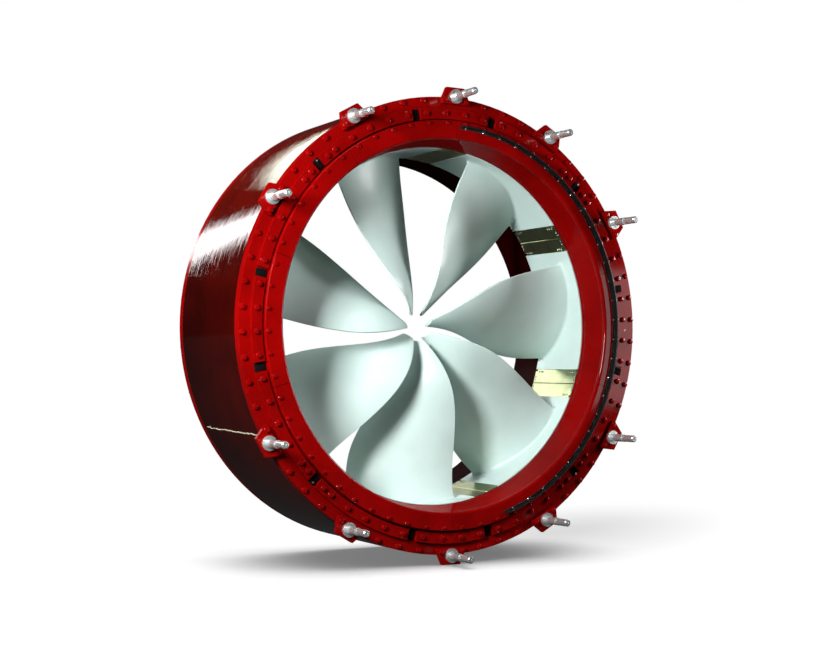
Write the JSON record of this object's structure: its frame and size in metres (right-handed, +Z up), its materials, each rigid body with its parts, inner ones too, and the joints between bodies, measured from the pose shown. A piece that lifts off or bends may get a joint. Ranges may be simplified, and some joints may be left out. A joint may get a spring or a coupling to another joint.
{
  "type": "rim driven tunnel thruster",
  "caption": "Rim driven underwater tunnel thruster: a ring housing with mounting studs round a hubless rotor of inward blades with free tips.",
  "frame": {"origin": "on the rotor axis, in the plane of the mounting studs' shoulders", "axes": "+Y runs aft along the rotor axis, -Y out of the studded front face, +Z up, +X to the right seen from the front"},
  "size_m": [1.9478, 0.828, 1.964],
  "materials": {
    "red_paint": "gloss",
    "blade_composite": "satin",
    "bronze": "machined",
    "stud_steel": "turned",
    "black_rubber": "matt",
    "core_steel": "machined",
    "copper": "enamelled",
    "sleeve_composite": "matt",
    "magnet_alloy": "plated",
    "bearing_polymer": "matt"
  },
  "bodies": {
    "housing": {"cable_glands": "stud_steel", "clamp_bolts": "red_paint", "clamp_segments_long": "red_paint", "clamp_segments_short": "red_paint", "flange_bolts": "red_paint", "front_bearing_carrier": "core_steel", "front_flange": "red_paint", "front_nozzle": "red_paint", "front_radial_pads": "bearing_polymer", "front_thrust_pads": "bearing_polymer", "housing_shell": "red_paint", "junction_box": "red_paint", "junction_box_cover": "red_paint", "lip_bolts": "red_paint", "lip_segment_1": "red_paint", "lip_segment_10": "red_paint", "lip_segment_2": "red_paint", "lip_segment_3": "red_paint", "lip_segment_4": "red_paint", "lip_segment_5": "red_paint", "lip_segment_6": "red_paint", "lip_segment_7": "red_paint", "lip_segment_8": "red_paint", "lip_segment_9": "red_paint", "mounting_lug_1": "red_paint", "mounting_lug_10": "red_paint", "mounting_lug_2": "red_paint", "mounting_lug_3": "red_paint", "mounting_lug_4": "red_paint", "mounting_lug_5": "red_paint", "mounting_lug_6": "red_paint", "mounting_lug_7": "red_paint", "mounting_lug_8": "red_paint", "mounting_lug_9": "red_paint", "mounting_studs": "stud_steel", "rear_bearing_carrier": "core_steel", "rear_cover": "red_paint", "rear_cover_bolts": "red_paint", "rear_nozzle": "red_paint", "rear_radial_pads": "bearing_polymer", "rear_thrust_pads": "bearing_polymer", "seal_strip": "black_rubber", "stator_can": "sleeve_composite", "stator_core": "core_steel", "stator_windings": "copper"},
    "rotor": {"blade_1": "blade_composite", "blade_2": "blade_composite", "blade_3": "blade_composite", "blade_4": "blade_composite", "blade_5": "blade_composite", "blade_6": "blade_composite", "blade_7": "blade_composite", "blade_clamp_strips": "bronze", "magnet_sleeve": "sleeve_composite", "rotor_magnets": "magnet_alloy", "rotor_ring": "core_steel"}
  },
  "joints": [
    {"name": "rotor_spin", "type": "hinge", "parent": "housing", "child": "rotor", "pos_m": [0, 0.304, 0], "axis": [0, 1, 0], "continuous": true}
  ]
}
